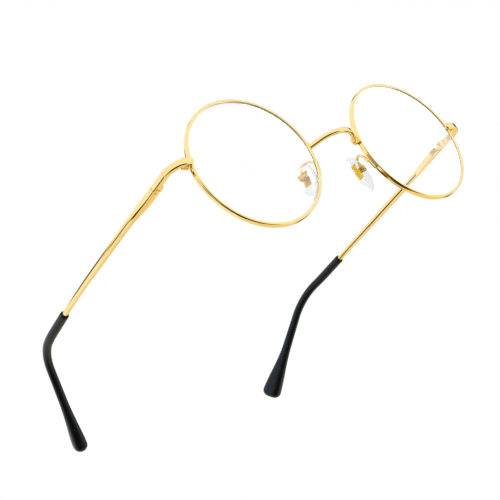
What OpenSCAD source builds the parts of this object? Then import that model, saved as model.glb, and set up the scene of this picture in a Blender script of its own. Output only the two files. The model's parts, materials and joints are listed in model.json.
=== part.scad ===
// Round wire spectacles standing open on the rims and the temple tips.
// +X is the wearer's left, -Y is the front and +Z is up; the origin is at the middle of the base.
// Every side part is drawn for the wearer's left and mirrored for the right.

/* [Rims and lenses] */
// Radius of a rim at the middle of its wire
rim_r = 24; // [22:0.5:25]
// Distance between the centres of the two rims
rim_span = 72.4; // [71:0.2:76]
// Width of the rim wire, seen from the front
rim_w = 1; // [0.9:0.05:1.2]
// Depth of the rim wire, from front to back
rim_d = 1.7; // [1.6:0.05:2]
// Angle by which each rim turns back towards its temple
wrap = 3.3; // [0:0.1:5]
// Lean of the front, top forward, from the square to the temples
tilt = 2.4; // [1:0.1:4]
// Rise of the temples towards the back, when rims and tips rest on a table
lean = 0.78; // [0:0.02:2]
// Radius of the curved front face of a lens
lens_curve = 130; // [100:5:200]
// Thickness of a lens
lens_t = 1.5; // [1.2:0.1:1.6]

/* [Bridge] */
// Radius of the bridge's arch, seen from above
bridge_r = 9.8; // [9.5:0.1:10]
// Thickness of the bridge bar
bridge_bar = 1.5; // [1.4:0.1:1.8]
// Rise of the arch towards its crown, as an angle
bridge_rise = 5.5; // [0:0.5:12]

/* [Hinges and temples] */
// Height of the temples above the rims' centres
temple_z = 3.7; // [3:0.1:4.5]
// Distance from the middle of the glasses to a temple
temple_x = 67.9; // [67.5:0.1:69]
// Distance from the rims back to the hinge axis
hinge_y = 13.4; // [12.5:0.1:15]
// Length of the bare temple wire, from the hinge to the tip sleeve
wire_len = 73.5; // [65:0.1:85]
// Height of the end piece's band
band_h = 2.5; // [2.2:0.1:3]
// Thickness of the end piece's band
band_t = 1.1; // [1:0.05:1.2]

/* [Temple tips] */
// Length of a tip sleeve along its curve
tip_len = 70; // [62:2:76]
// Angle by which a tip turns in towards the head
tip_turn = 28.8; // [20:0.2:34]
// Angle by which a tip bends down behind the ear
tip_drop = 40.2; // [38:0.1:42]

/* [Nose pads] */
// Length of a nose pad
pad_len = 14; // [12:0.2:15]
// Width of a nose pad
pad_w = 7.8; // [7:0.2:8.4]
// Outward splay of a pad's lower end
pad_splay = 12; // [8:1:16]
// Angle by which a pad faces back
pad_turn = 12; // [8:1:20]

/* [Hidden] */
$fn = 64;

gold = [0.88, 0.68, 0.28];
bright_gold = [0.93, 0.74, 0.30];
clear_tint = [0.85, 0.88, 0.92, 0.35];
silicone = [0.88, 0.90, 0.92, 0.6];
black = [0.06, 0.06, 0.07];
clear = 0.05; // free play between parts that turn on each other
big = 60; // longer than any hole or cut

rim_in = rim_r - rim_w / 2;
rim_out = rim_r + rim_w / 2;
stand = rim_out * cos(tilt + lean) + rim_d / 2 * sin(tilt + lean); // height of the rims' centres

// Groove that holds the lens, and the gap where the rim is cut
groove_d = 0.45;
groove_h = 0.9;
rim_chamfer = 0.2;
rim_gap = 0.4;

// Rim lock: two blocks outside the rim ends, drawn together by a screw
lock_a = asin(temple_z / rim_r);
lock_w = 2.4;
lock_h = 1.5;
lock_front = -0.7;
lock_back = 1.6;
lock_screw_x = rim_w / 2 + 1.25;
lock_screw_y = 0.45;
lock_screw_r = 0.5;
lock_head_r = 0.85;
lock_head_h = 0.55;

// Bridge ends
bridge_centre_y = 2;
bridge_half = 54;
bridge_z = 2.45;
flank_len = 4.7;
flank_lap = 0.3; // overlap of a flank and the arch
flank_step = 0.04; // how much thinner a flank is
foot_x = 10.95;
foot_y = -1.2;
foot_w = 2;
foot_h = 3.2;

// End piece: a lap in front of the rim, a bend, and a straight to the hinge
bend_r = 6.2;
lap_in = 0.4; // reach of the lap's straight part inside the rim's outer edge
band_corner = 0.3;
band_x0 = temple_x - bend_r;
lap_y = -0.05;
bend_y = lap_y + bend_r;

// Hinge
hinge_x = temple_x - 1.7;
hinge_r = 1;
slot_r = 1.5; // turning room of the leaf's knuckle between the ears
hinge_h = 2.4;
knuckle_h = 1.1;
hinge_screw_r = 0.5;
hinge_head_r = 0.8;
hinge_head_h = 0.4;
ears_len = 3.6;
leaf_start = 1.5;
leaf_len = 17;
leaf_taper = 8;
leaf_h = 2.2;
temple_gap = 0.1;

// Temple bar and wire; the wire's last stretch bows in a little before the sleeve
bar_w = 1.3;
bar_h = 2.2;
bar_len = 17;
cone_start = 4;
cone_end = 24;
cone_r = 0.4;
wire_r0 = 1.05;
wire_r1 = 0.9;
wire_join = 0.03; // step down where the straight wire takes the bowed one
bow_len = 25;
bow_turn = 2.8;
bow_drop = 1.2;
bow_start = [temple_x, hinge_y + wire_len - bow_len, temple_z];

// Tip sleeve and the core inside it, by distance along the centre line from the bow's start
step = 1; // between the centre line's points
turn_from = bow_len + 12;
turn_to = bow_len + 33.6;
drop_from = bow_len + 18;
drop_to = bow_len + 34.6;
core_r = 0.75;
core_end = bow_len + tip_len - 6;
core_rings = 2; // steps from ring to ring
round_sides = 16;
tip_sides = 20;
sleeve_r = 1.42;
bore_r = 0.95;
bore_end = core_end + 2;
paddle_half_t = 2;
paddle_half_h = 3;
flare_from = bow_len + 30;
flare_to = bow_len + 64;
round_len = 4;
squareness = 0.85;

// Nose pads, in a frame of their own: +X away from the nose, +Z up
pad_centre = [12.7, 6.4, -7];
pad_front = 1.2;
pad_back = 0.8;
pad_rings = 9;
pad_sides = 28;
pad_edge = 84;
pad_fullness = 0.55;
pivot = [1.9, 0, 1.2];
stem_w = 0.9;
stem_r = 0.75;
plate_t = 0.4;
plate_len = 5.6;
plate_w = 2.6;
plate_waist = 1.3;
box_w = 2.3;
box_back = 1.2;
box_front = 0.8;
box_h = 1.9;
pad_screw_r = 0.4;
pad_head_r = 0.7;
pad_head_h = 0.5;

// Pad arm: a bent wire from a foot on the rim to the box
arm_r = 0.45;
arm_steps = 14;
arm_sides = 14;
arm_root = [11.75, -0.7, -6.4];
arm_foot_a = 188;
arm_foot_sweep = 15;
arm_foot_t = 0.7;
arm_foot_w = 1.3;
arm_foot_y = 0.2;

// A point of the pad's frame, in the frame of the front
function turned(v) = [
    v[0] * cos(pad_turn) + v[1] * sin(pad_turn),
    -v[0] * sin(pad_turn) + v[1] * cos(pad_turn),
    v[2]
];
function splayed(v) = [
    v[0] * cos(pad_splay) - v[2] * sin(pad_splay),
    v[1],
    v[0] * sin(pad_splay) + v[2] * cos(pad_splay)
];
function pad_point(v) = pad_centre + splayed(turned(v));

arm_end = pad_point([pivot[0], 0, pivot[2] + box_h / 2 - 0.1]);
arm_rise_root = [-0.9, 1.2, 5.6];
arm_rise_end = [-0.9, -0.4, 4.4];

// Cubic curve through a, leaning on b and c, to d
function curve(a, b, c, d, t) =
    pow(1 - t, 3) * a + 3 * pow(1 - t, 2) * t * b + 3 * (1 - t) * t * t * c + t * t * t * d;
arm_points = [
    for (i = [0:arm_steps])
        curve(arm_root, arm_root + arm_rise_root, arm_end + arm_rise_end, arm_end, i / arm_steps)
];

// Direction of the temple's centre line at a distance s from the bow's start
function ramp(s, from, to) = max(0, min(1, (s - from) / (to - from)));
function yaw(s) =
    bow_turn * ramp(s, 0, bow_len) + (tip_turn - bow_turn) * ramp(s, turn_from, turn_to);
function pitch(s) =
    bow_drop * ramp(s, 0, bow_len) + (tip_drop - bow_drop) * ramp(s, drop_from, drop_to);
function along(s) = [-sin(yaw(s)) * cos(pitch(s)), cos(yaw(s)) * cos(pitch(s)), -sin(pitch(s))];
function across(s) = [cos(yaw(s)), sin(yaw(s)), 0];
function upward(s) = cross(across(s), along(s));

// Points along that centre line, one for each step
path = [
    for (
        s = 0, p = bow_start;
        s <= bow_len + tip_len;
        p = p + step * along(s + step / 2), s = s + step
    ) p
];

// Distance from the rims back to the middle of the base
middle = (path[bow_len + tip_len][1] + bridge_centre_y - bridge_r) / 2;

// A ring of m points about the centre line at s, with half sizes w across and h upward;
// a power under 1 makes it squarer than an ellipse
function power(v, e) = sign(v) * pow(abs(v), e);
function ring(s, m, w, h, e) = [
    for (j = [0:m - 1])
        let (a = j * 360 / m)
        path[s / step] + power(cos(a), e) * w * across(s) + power(sin(a), e) * h * upward(s)
];

// Faces between n neighbouring rings of m points each, facing out, and the flat ends
function skin_faces(n, m) = [
    for (i = [0:n - 2], j = [0:m - 1])
        [i * m + (j + 1) % m, (i + 1) * m + (j + 1) % m, (i + 1) * m + j, i * m + j]
];
function first_cap(m) = [for (j = [m - 1:-1:0]) j];
function last_cap(n, m) = [for (j = [0:m - 1]) (n - 1) * m + j];
function flat_list(lists) = [for (part = lists) each part];

// Wire radius outside and inside the sleeve
function wire_r(s) = s > bow_len + step ? core_r : wire_r1 - wire_join * (1 - ramp(s, 0, bow_len));

// Half sizes of the sleeve's section
function flare(s) = let (f = ramp(s, flare_from, flare_to)) f * f * (3 - 2 * f);
function end_round(s) =
    let (f = ramp(s, bow_len + tip_len - round_len, bow_len + tip_len)) sqrt(max(0.03, 1 - f * f));
function sleeve_w(s) = (sleeve_r + (paddle_half_t - sleeve_r) * flare(s)) * end_round(s);
function sleeve_h(s) = (sleeve_r + (paddle_half_h - sleeve_r) * flare(s)) * end_round(s);

module side(name) {
    if (name == "left") children();
    else mirror([1, 0, 0]) children();
}

// Frame of the temples, with its origin between the rims' centres
module level() {
    translate([0, -middle, stand]) rotate([lean, 0, 0]) children();
}

// Frame of the leaning front, with the same origin
module front() {
    level() rotate([tilt, 0, 0]) children();
}

// Frame of a rim: +Z is the rim's axis and points forward, +X points to the temple
module rim_axis() {
    front() translate([rim_span / 2, 0, 0]) rotate([0, 0, wrap]) rotate([90, 0, 0]) children();
}

// Frame of the rim lock: +X runs out from the rim, +Z along the rim wire
module lock_axis() {
    front() translate([rim_span / 2, 0, 0]) rotate([0, 0, wrap]) rotate([0, -lock_a, 0])
        translate([rim_r, 0, 0]) children();
}

// Frame of the hinge: the origin is on the hinge axis, at the middle of the temple's height
module hinge_axis() {
    level() translate([hinge_x, hinge_y, temple_z]) children();
}

module pad_frame() {
    front() translate(pad_centre) rotate([0, -pad_splay, 0]) rotate([0, 0, -pad_turn]) children();
}

// A bar's section with rounded corners
module rounded(w, h, r) {
    square([w - 2 * r, h], center = true);
    square([w, h - 2 * r], center = true);
    for (x = [-1, 1], y = [-1, 1])
        translate([x * (w / 2 - r), y * (h / 2 - r)]) circle(r, $fn = 24);
}

// Round wire of m sides through a list of points, none of its runs along X
module wire(points, m, r) {
    n = len(points);
    rings = [
        for (i = [0:n - 1])
            let (
                d = points[min(i + 1, n - 1)] - points[max(i - 1, 0)],
                u = cross(d, [1, 0, 0]) / norm(cross(d, [1, 0, 0])),
                v = cross(u, d) / norm(d)
            )
            for (j = [0:m - 1]) points[i] + r * (cos(j * 360 / m) * u + sin(j * 360 / m) * v)
    ];
    polyhedron(rings, concat(skin_faces(n, m), [first_cap(m), last_cap(n, m)]), convexity = 6);
}

// Everything inside a rim's outer edge to a given depth, which soldered pieces stop at
module rim_envelope(depth = big) {
    rim_axis() cylinder(h = depth, r = rim_out, center = true, $fn = 128);
}

module rim() {
    gap_a = rim_gap / rim_r * 180 / PI;
    rim_axis() rotate([0, 0, lock_a + gap_a / 2]) rotate_extrude(angle = 360 - gap_a, $fn = 180)
        polygon([
            [rim_in, -rim_d / 2 + rim_chamfer],
            [rim_in, -groove_h / 2],
            [rim_in + groove_d, 0],
            [rim_in, groove_h / 2],
            [rim_in, rim_d / 2 - rim_chamfer],
            [rim_in + rim_chamfer, rim_d / 2],
            [rim_out - rim_chamfer, rim_d / 2],
            [rim_out, rim_d / 2 - rim_chamfer],
            [rim_out, -rim_d / 2 + rim_chamfer],
            [rim_out - rim_chamfer, -rim_d / 2],
            [rim_in + rim_chamfer, -rim_d / 2]
        ]);
}

module lens() {
    edge = rim_in - 0.03;
    tip = rim_in + groove_d - 0.08;
    bevel = 0.38;
    deep = 8;
    set_back = sqrt(lens_curve * lens_curve - edge * edge);
    rim_axis() difference() {
        intersection() {
            rotate_extrude($fn = 128)
                polygon([
                    [0, -deep], [edge, -deep], [edge, -bevel], [tip, 0], [edge, bevel],
                    [edge, deep], [0, deep]
                ]);
            translate([0, 0, lens_t / 2 - set_back]) sphere(lens_curve, $fn = 256);
        }
        translate([0, 0, -lens_t / 2 - set_back]) sphere(lens_curve, $fn = 256);
    }
}

module bridge() {
    difference() {
        front() {
            translate([0, foot_y, bridge_z]) rotate([-bridge_rise, 0, 0])
                translate([0, bridge_centre_y - foot_y, 0]) {
                    rotate([0, 0, -90 - bridge_half]) rotate_extrude(angle = 2 * bridge_half, $fn = 96)
                        translate([bridge_r, 0]) rounded(bridge_bar, bridge_bar, 0.35);
                    for (s = [-1, 1])
                        rotate([0, 0, s * bridge_half]) translate([-s * flank_lap, -bridge_r, 0])
                            rotate([90, 0, s * 90]) linear_extrude(flank_len)
                            rounded(bridge_bar - flank_step, bridge_bar - flank_step, 0.35);
                }
            for (s = [-1, 1])
                translate([s * foot_x, foot_y, bridge_z - foot_h / 2])
                    linear_extrude(foot_h) rounded(foot_w, bridge_bar, 0.3);
        }
        rim_envelope();
        mirror([1, 0, 0]) rim_envelope();
    }
}

// The band's section, with its height along Z once it is laid along its path
module band_section() {
    rounded(band_t, band_h, band_corner);
}

module end_piece() {
    lap_len = band_x0 - (rim_span / 2 + rim_out * cos(wrap) - lap_in);
    difference() {
        level() translate([0, 0, temple_z]) {
            translate([band_x0, bend_y, 0]) rotate([0, 0, -90]) rotate_extrude(angle = 90, $fn = 96)
                translate([bend_r, 0]) band_section();
            translate([band_x0, lap_y, 0]) rotate([0, -90, 0]) linear_extrude(lap_len)
                rotate([0, 0, 90]) band_section();
            translate([band_x0 - lap_len, lap_y, 0]) rotate([90, 0, 0])
                cylinder(h = band_t, r = band_h / 2, center = true);
            translate([temple_x, hinge_y, 0]) rotate([90, 0, 0]) linear_extrude(hinge_y - bend_y)
                band_section();
        }
        rim_axis() translate([0, 0, -big + rim_d / 2]) cylinder(h = big, r = rim_out + lock_w, $fn = 128);
    }
}

module lock_block(z0) {
    difference() {
        lock_axis() difference() {
            translate([0, lock_front, z0]) cube([rim_w / 2 + lock_w, lock_back - lock_front, lock_h]);
            translate([lock_screw_x, lock_screw_y, z0 - 1])
                cylinder(h = lock_h + 2, r = lock_screw_r + 0.02);
            translate([lock_screw_x, lock_screw_y, -rim_gap / 2 - lock_h - 1])
                cylinder(h = 1 + lock_head_h, r = lock_head_r + 0.05);
        }
        rim_envelope();
    }
}

module lock_screw() {
    bottom = -rim_gap / 2 - lock_h;
    lock_axis() translate([lock_screw_x, lock_screw_y, bottom]) difference() {
        union() {
            cylinder(h = 2 * lock_h + rim_gap - 0.3, r = lock_screw_r);
            cylinder(h = lock_head_h - 0.05, r = lock_head_r);
        }
        translate([-lock_head_r - 0.5, -0.12, -0.5]) cube([2 * lock_head_r + 1, 0.24, 0.75]);
    }
}

module hinge_ears() {
    hinge_axis() difference() {
        union() {
            cylinder(h = hinge_h, r = hinge_r, center = true);
            translate([-hinge_r, -ears_len + hinge_r, -hinge_h / 2])
                cube([temple_x - band_t / 2 - hinge_x + hinge_r, ears_len - hinge_r, hinge_h]);
            translate([0, -ears_len + hinge_r, 0])
                cylinder(h = hinge_h, r = hinge_r, center = true);
        }
        cylinder(h = knuckle_h + 2 * clear, r = slot_r, center = true);
        translate([-big / 2, 0, -knuckle_h / 2 - clear]) cube([big, big, knuckle_h + 2 * clear]);
        cylinder(h = big, r = hinge_screw_r + 0.02, center = true);
        translate([0, 0, -hinge_h / 2 - 1]) cylinder(h = 1 + hinge_head_h, r = hinge_head_r + 0.03);
    }
}

module hinge_screw() {
    hinge_axis() translate([0, 0, -hinge_h / 2]) difference() {
        union() {
            cylinder(h = hinge_h, r = hinge_screw_r);
            cylinder(h = hinge_head_h - 0.02, r = hinge_head_r);
        }
        translate([-hinge_head_r - 0.5, -0.12, -0.5]) cube([2 * hinge_head_r + 1, 0.24, 0.7]);
    }
}

module hinge_leaf() {
    inner = temple_x - bar_w / 2 - hinge_x;
    hinge_axis() difference() {
        union() {
            cylinder(h = knuckle_h, r = hinge_r, center = true);
            translate([-hinge_r, 0, -knuckle_h / 2])
                cube([2 * hinge_r - 0.1, leaf_start + 0.2, knuckle_h]);
            translate([0, 0, -leaf_h / 2]) linear_extrude(leaf_h)
                polygon([
                    [inner, leaf_start],
                    [inner, leaf_start + leaf_len],
                    [-hinge_r, leaf_start + leaf_len - leaf_taper],
                    [-hinge_r, leaf_start]
                ]);
        }
        cylinder(h = big, r = hinge_screw_r + clear, center = true);
    }
}

module temple() {
    start = [temple_x, hinge_y + temple_gap, temple_z];
    straight = wire_len - temple_gap - cone_end - bow_len + 1;
    level() translate(start) rotate([-90, 0, 0]) linear_extrude(bar_len) rounded(bar_w, bar_h, 0.4);
    difference() {
        level() translate(start + [0, cone_start, 0]) rotate([-90, 0, 0])
            cylinder(h = cone_end - cone_start, r1 = cone_r, r2 = wire_r0);
        hinge_axis() translate([-big + temple_x - bar_w / 2 - hinge_x, 0, -big / 2])
            cube([big, leaf_start + leaf_len, big]);
    }
    level() translate(start + [0, cone_end, 0]) rotate([-90, 0, 0])
        cylinder(h = straight, r1 = wire_r0, r2 = wire_r1);
    level() bowed_wire();
}

// The wire from the start of its bow to the end of its core inside the sleeve
module bowed_wire() {
    places = [for (s = [0:core_rings:core_end]) s];
    n = len(places);
    polyhedron(
        flat_list([for (s = places) ring(s, round_sides, wire_r(s), wire_r(s), 1)]),
        concat(skin_faces(n, round_sides), [first_cap(round_sides), last_cap(n, round_sides)]),
        convexity = 8
    );
}

// Tip sleeve: outer skin, square-cut mouth and bore as one closed surface
module temple_tip() {
    end = bow_len + tip_len;
    outer_places = concat(
        [for (s = [bow_len:2 * step:end - round_len - step]) s],
        [for (s = [end - round_len:step:end]) s]
    );
    bore_places = [for (s = [bow_len:core_rings:bore_end]) s];
    outer = flat_list([for (s = outer_places) ring(s, tip_sides, sleeve_w(s), sleeve_h(s), squareness)]);
    bore = flat_list([for (s = bore_places) ring(s, round_sides, bore_r, bore_r, 1)]);
    m = tip_sides;
    k = round_sides;
    n = len(outer);
    bore_faces = concat(skin_faces(len(bore_places), k), [last_cap(len(bore_places), k)]);
    // The mouth's ring joins m outer points to k bore points
    mouth = [
        for (j = [0:m - 1])
            let (a = round(j * k / m), b = round((j + 1) * k / m))
            each concat(
                [[n + a % k, (j + 1) % m, j]],
                b > a ? [[n + a % k, n + b % k, (j + 1) % m]] : []
            )
    ];
    level()
        polyhedron(
            concat(outer, bore),
            concat(
                skin_faces(len(outer_places), m),
                [last_cap(len(outer_places), m)],
                [for (f = bore_faces) [for (i = [len(f) - 1:-1:0]) n + f[i]]],
                mouth
            ),
            convexity = 8
        );
}

module pad_arm() {
    difference() {
        union() {
            front() wire(arm_points, arm_sides, arm_r);
            rim_axis() rotate([0, 0, arm_foot_a]) rotate_extrude(angle = arm_foot_sweep, $fn = 128)
                translate([rim_out - 0.1, -arm_foot_y - arm_foot_w / 2])
                square([arm_foot_t + 0.1, arm_foot_w]);
        }
        rim_envelope(rim_d);
        pad_box_space();
    }
}

module pad_box_space() {
    pad_frame() translate([pivot[0] - box_front, -box_w / 2, pivot[2] - box_h / 2])
        cube([box_front + box_back, box_w, box_h]);
}

module pad_box() {
    difference() {
        pad_box_space();
        pad_frame() translate(pivot) {
            translate([-big + stem_r + 0.1, -stem_w / 2 - clear, -big / 2])
                cube([big, stem_w + 2 * clear, big]);
            rotate([90, 0, 0]) cylinder(h = big, r = pad_screw_r + 0.02, center = true, $fn = 32);
        }
    }
}

module pad_screw() {
    pad_frame() translate(pivot) rotate([90, 0, 0]) difference() {
        union() {
            cylinder(h = box_w, r = pad_screw_r, center = true, $fn = 32);
            translate([0, 0, box_w / 2]) cylinder(h = pad_head_h, r = pad_head_r, $fn = 32);
        }
        translate([-pad_head_r - 0.5, -0.1, box_w / 2 + pad_head_h - 0.2])
            cube([2 * pad_head_r + 1, 0.2, 0.5]);
    }
}

// The plate is waisted like a bow tie; the stem runs out through the pad's back to the screw
module pad_holder() {
    half = plate_len / 2;
    pad_frame() difference() {
        union() {
            translate([-plate_t / 2, 0, 0]) rotate([90, 0, 90]) linear_extrude(plate_t)
                translate([0, pivot[2]]) polygon([
                    [-plate_w / 2, -half], [plate_w / 2, -half], [plate_w / 2, 0],
                    [plate_waist / 2, half / 2], [plate_w / 2, half - 0.7], [plate_w / 2, half],
                    [-plate_w / 2, half], [-plate_w / 2, half - 0.7],
                    [-plate_waist / 2, half / 2], [-plate_w / 2, 0]
                ]);
            translate([0, -stem_w / 2, pivot[2] - stem_r]) cube([pivot[0], stem_w, 2 * stem_r]);
            translate(pivot) rotate([90, 0, 0]) cylinder(h = stem_w, r = stem_r, center = true, $fn = 32);
        }
        translate(pivot) rotate([90, 0, 0])
            cylinder(h = big, r = pad_screw_r + clear, center = true, $fn = 32);
    }
}

// Soft oval pad, fuller on its face than on its back
module nose_pad() {
    steps = pad_rings - 1;
    points = [
        for (i = [0:steps], j = [0:pad_sides - 1])
            let (
                u = pad_edge - 2 * pad_edge * i / steps, a = j * 360 / pad_sides,
                x = sin(u) * (u < 0 ? pad_front : pad_back), grow = pow(cos(u), pad_fullness)
            )
            [x, grow * pad_w / 2 * cos(a), grow * pad_len / 2 * sin(a)]
    ];
    caps = [first_cap(pad_sides), last_cap(pad_rings, pad_sides)];
    difference() {
        pad_frame() polyhedron(points, concat(skin_faces(pad_rings, pad_sides), caps), convexity = 4);
        pad_pocket();
    }
}

// Room in the silicone for the holder's plate and stem
module pad_pocket() {
    pad_frame() {
        translate([-plate_t / 2, -plate_w / 2, pivot[2] - plate_len / 2])
            cube([plate_t, plate_w, plate_len]);
        translate([0, -stem_w / 2, pivot[2] - stem_r]) cube([3, stem_w, 2 * stem_r]);
    }
}

color(gold) side("left") rim();  // rim_left
color(gold) side("right") rim();  // rim_right
color(clear_tint) side("left") lens();  // lens_left
color(clear_tint) side("right") lens();  // lens_right
color(gold) bridge();
color(gold) side("left") end_piece();  // end_piece_left
color(gold) side("right") end_piece();  // end_piece_right
color(gold) side("left") lock_block(rim_gap / 2);  // lock_block_upper_left
color(gold) side("right") lock_block(rim_gap / 2);  // lock_block_upper_right
color(gold) side("left") lock_block(-rim_gap / 2 - lock_h);  // lock_block_lower_left
color(gold) side("right") lock_block(-rim_gap / 2 - lock_h);  // lock_block_lower_right
color(bright_gold) side("left") lock_screw();  // lock_screw_left
color(bright_gold) side("right") lock_screw();  // lock_screw_right
color(gold) side("left") hinge_ears();  // hinge_ears_left
color(gold) side("right") hinge_ears();  // hinge_ears_right
color(bright_gold) side("left") hinge_screw();  // hinge_screw_left
color(bright_gold) side("right") hinge_screw();  // hinge_screw_right
color(gold) side("left") hinge_leaf();  // hinge_leaf_left
color(gold) side("right") hinge_leaf();  // hinge_leaf_right
color(gold) side("left") temple();  // temple_left
color(gold) side("right") temple();  // temple_right
color(black) side("left") temple_tip();  // temple_tip_left
color(black) side("right") temple_tip();  // temple_tip_right
color(gold) side("left") pad_arm();  // pad_arm_left
color(gold) side("right") pad_arm();  // pad_arm_right
color(gold) side("left") pad_box();  // pad_box_left
color(gold) side("right") pad_box();  // pad_box_right
color(bright_gold) side("left") pad_screw();  // pad_screw_left
color(bright_gold) side("right") pad_screw();  // pad_screw_right
color(bright_gold) side("left") pad_holder();  // pad_holder_left
color(bright_gold) side("right") pad_holder();  // pad_holder_right
color(silicone) side("left") nose_pad();  // nose_pad_left
color(silicone) side("right") nose_pad();  // nose_pad_right
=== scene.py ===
"""Round wire spectacles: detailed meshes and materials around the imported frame."""

import json
import math

import bmesh
import bpy
from mathutils import Matrix, Vector


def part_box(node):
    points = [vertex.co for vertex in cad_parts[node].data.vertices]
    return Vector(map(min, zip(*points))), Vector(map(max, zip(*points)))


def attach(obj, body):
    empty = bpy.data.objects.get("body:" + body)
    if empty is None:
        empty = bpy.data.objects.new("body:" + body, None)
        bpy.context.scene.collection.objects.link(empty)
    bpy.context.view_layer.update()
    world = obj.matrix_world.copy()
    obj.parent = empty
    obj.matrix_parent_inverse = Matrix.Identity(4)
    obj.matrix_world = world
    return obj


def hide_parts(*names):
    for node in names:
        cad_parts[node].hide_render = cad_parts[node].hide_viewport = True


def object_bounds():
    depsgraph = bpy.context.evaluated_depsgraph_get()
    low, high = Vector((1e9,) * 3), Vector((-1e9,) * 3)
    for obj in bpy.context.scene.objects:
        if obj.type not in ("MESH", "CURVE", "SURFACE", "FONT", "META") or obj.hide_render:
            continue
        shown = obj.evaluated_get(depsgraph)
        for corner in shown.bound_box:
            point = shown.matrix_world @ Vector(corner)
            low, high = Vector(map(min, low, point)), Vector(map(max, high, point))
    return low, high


MM = 0.001

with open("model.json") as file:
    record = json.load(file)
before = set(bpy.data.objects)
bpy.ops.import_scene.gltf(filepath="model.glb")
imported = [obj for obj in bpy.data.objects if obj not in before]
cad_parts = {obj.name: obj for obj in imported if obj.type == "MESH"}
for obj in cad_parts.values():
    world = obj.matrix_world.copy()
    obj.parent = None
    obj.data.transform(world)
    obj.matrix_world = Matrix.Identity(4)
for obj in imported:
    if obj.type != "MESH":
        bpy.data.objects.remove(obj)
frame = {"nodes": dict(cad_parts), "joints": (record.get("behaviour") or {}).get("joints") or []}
nodes = frame["nodes"]
joints = {j["name"]: j for j in frame["joints"]}
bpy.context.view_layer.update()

# ---------------------------------------------------------------------------
# Frames of reference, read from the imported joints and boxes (in millimetres)
# ---------------------------------------------------------------------------

HINGE_BACK = 13.4  # from the rims' plane back to the hinge axis
HINGE_UP = 3.7  # from the rims' centres up to the temples
FRONT_TILT = math.radians(2.4)  # lean of the front against the temples
WRAP = math.radians(3.3)  # turn of each rim towards its temple

hinge = joints["left_temple_fold"]
lean = math.atan2(-hinge["axis"][1], hinge["axis"][2])
hinge_point = Vector(hinge["pos_m"]) / MM
hinge_x = hinge_point.x

level_turn = Matrix.Rotation(lean, 4, "X")
level_origin = hinge_point - level_turn @ Vector((hinge_x, HINGE_BACK, HINGE_UP))
LEVEL = Matrix.Translation(level_origin) @ level_turn
FRONT = LEVEL @ Matrix.Rotation(FRONT_TILT, 4, "X")

rim_low, rim_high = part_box("rim_left")
rim_out = (rim_high.z - rim_low.z) / MM / 2 / math.cos(lean + FRONT_TILT)
rim_x = (rim_high.x + rim_low.x) / MM / 2
RIM = FRONT @ Matrix.Translation((rim_x, 0, 0)) @ Matrix.Rotation(WRAP, 4, "Z")


def in_rows(points, frame_matrix, side):
    """Points of a side frame in millimetres, as row-frame metres; side is 1 for left, -1 for right."""
    made = []
    for p in points:
        q = frame_matrix @ Vector(p)
        made.append(Vector((side * q.x, q.y, q.z)) * MM)
    return made


# ---------------------------------------------------------------------------
# Mesh helpers
# ---------------------------------------------------------------------------


def ramp(value, low, high):
    return max(0.0, min(1.0, (value - low) / (high - low)))


def smooth(value, low, high):
    t = ramp(value, low, high)
    return t * t * (3 - 2 * t)


def mix(a, b, t):
    return a + (b - a) * t


def build(name, points, faces, body, material, sharp):
    """One mesh object from points and faces, with even normals, riding on a body."""
    mesh = bpy.data.meshes.new(name)
    mesh.from_pydata([tuple(p) for p in points], [], faces)
    bm = bmesh.new()
    bm.from_mesh(mesh)
    bmesh.ops.remove_doubles(bm, verts=bm.verts, dist=1e-7)
    bmesh.ops.recalc_face_normals(bm, faces=bm.faces)
    limit = math.radians(sharp)
    for f in bm.faces:
        f.smooth = True
    for e in bm.edges:
        if len(e.link_faces) == 2 and e.calc_face_angle(0) > limit:
            e.smooth = False
    bm.to_mesh(mesh)
    bm.free()
    obj = bpy.data.objects.new(name, mesh)
    bpy.context.scene.collection.objects.link(obj)
    obj.data.materials.append(material)
    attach(obj, body)
    return obj


def rings_mesh(rings):
    """Points and faces of a skin over rings of equal length, with a cap on each end."""
    m = len(rings[0])
    points = [p for ring in rings for p in ring]
    faces = []
    for i in range(len(rings) - 1):
        for j in range(m):
            n = (j + 1) % m
            faces.append((i * m + j, i * m + n, (i + 1) * m + n, (i + 1) * m + j))
    faces.append(tuple(range(m)))
    faces.append(tuple(range((len(rings) - 1) * m, len(rings) * m)))
    return points, faces


def rounded_section(w, h, r, steps=5):
    """A rectangle's outline with round corners, counted from the middle of its right side."""
    r = min(r, w / 2 - 1e-4, h / 2 - 1e-4)
    made = []
    for cx, cy, start in (
        (w / 2 - r, h / 2 - r, 0),
        (r - w / 2, h / 2 - r, 90),
        (r - w / 2, r - h / 2, 180),
        (w / 2 - r, r - h / 2, 270),
    ):
        for i in range(steps + 1):
            a = math.radians(start + 90 * i / steps)
            made.append((cx + r * math.cos(a), cy + r * math.sin(a)))
    return made


def oval_section(w, h, power, count):
    """A superellipse outline with half sizes w and h; power 1 is an ellipse, under 1 is squarer."""
    made = []
    for i in range(count):
        a = 2 * math.pi * i / count
        c, s = math.cos(a), math.sin(a)
        made.append((w * math.copysign(abs(c) ** power, c), h * math.copysign(abs(s) ** power, s)))
    return made


def place_section(centre, across, upward, outline):
    return [centre + across * x + upward * y for x, y in outline]


def round_end(t, flat, least=0.0):
    """Fullness of a block at t from -1 to 1: whole up to flat, then rounded off to its ends."""
    over = max(0.0, abs(t) - flat) / (1 - flat)
    return math.sqrt(max(least, 1 - over**2))


SOFT_ANGLE = math.radians(40)  # edges sharper than this are softened


def soften(obj, width):
    bevel = obj.modifiers.new("soft_edges", "BEVEL")
    bevel.width = width * MM
    bevel.segments = 3
    bevel.limit_method = "ANGLE"
    bevel.angle_limit = SOFT_ANGLE


# ---------------------------------------------------------------------------
# Materials
# ---------------------------------------------------------------------------


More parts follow.
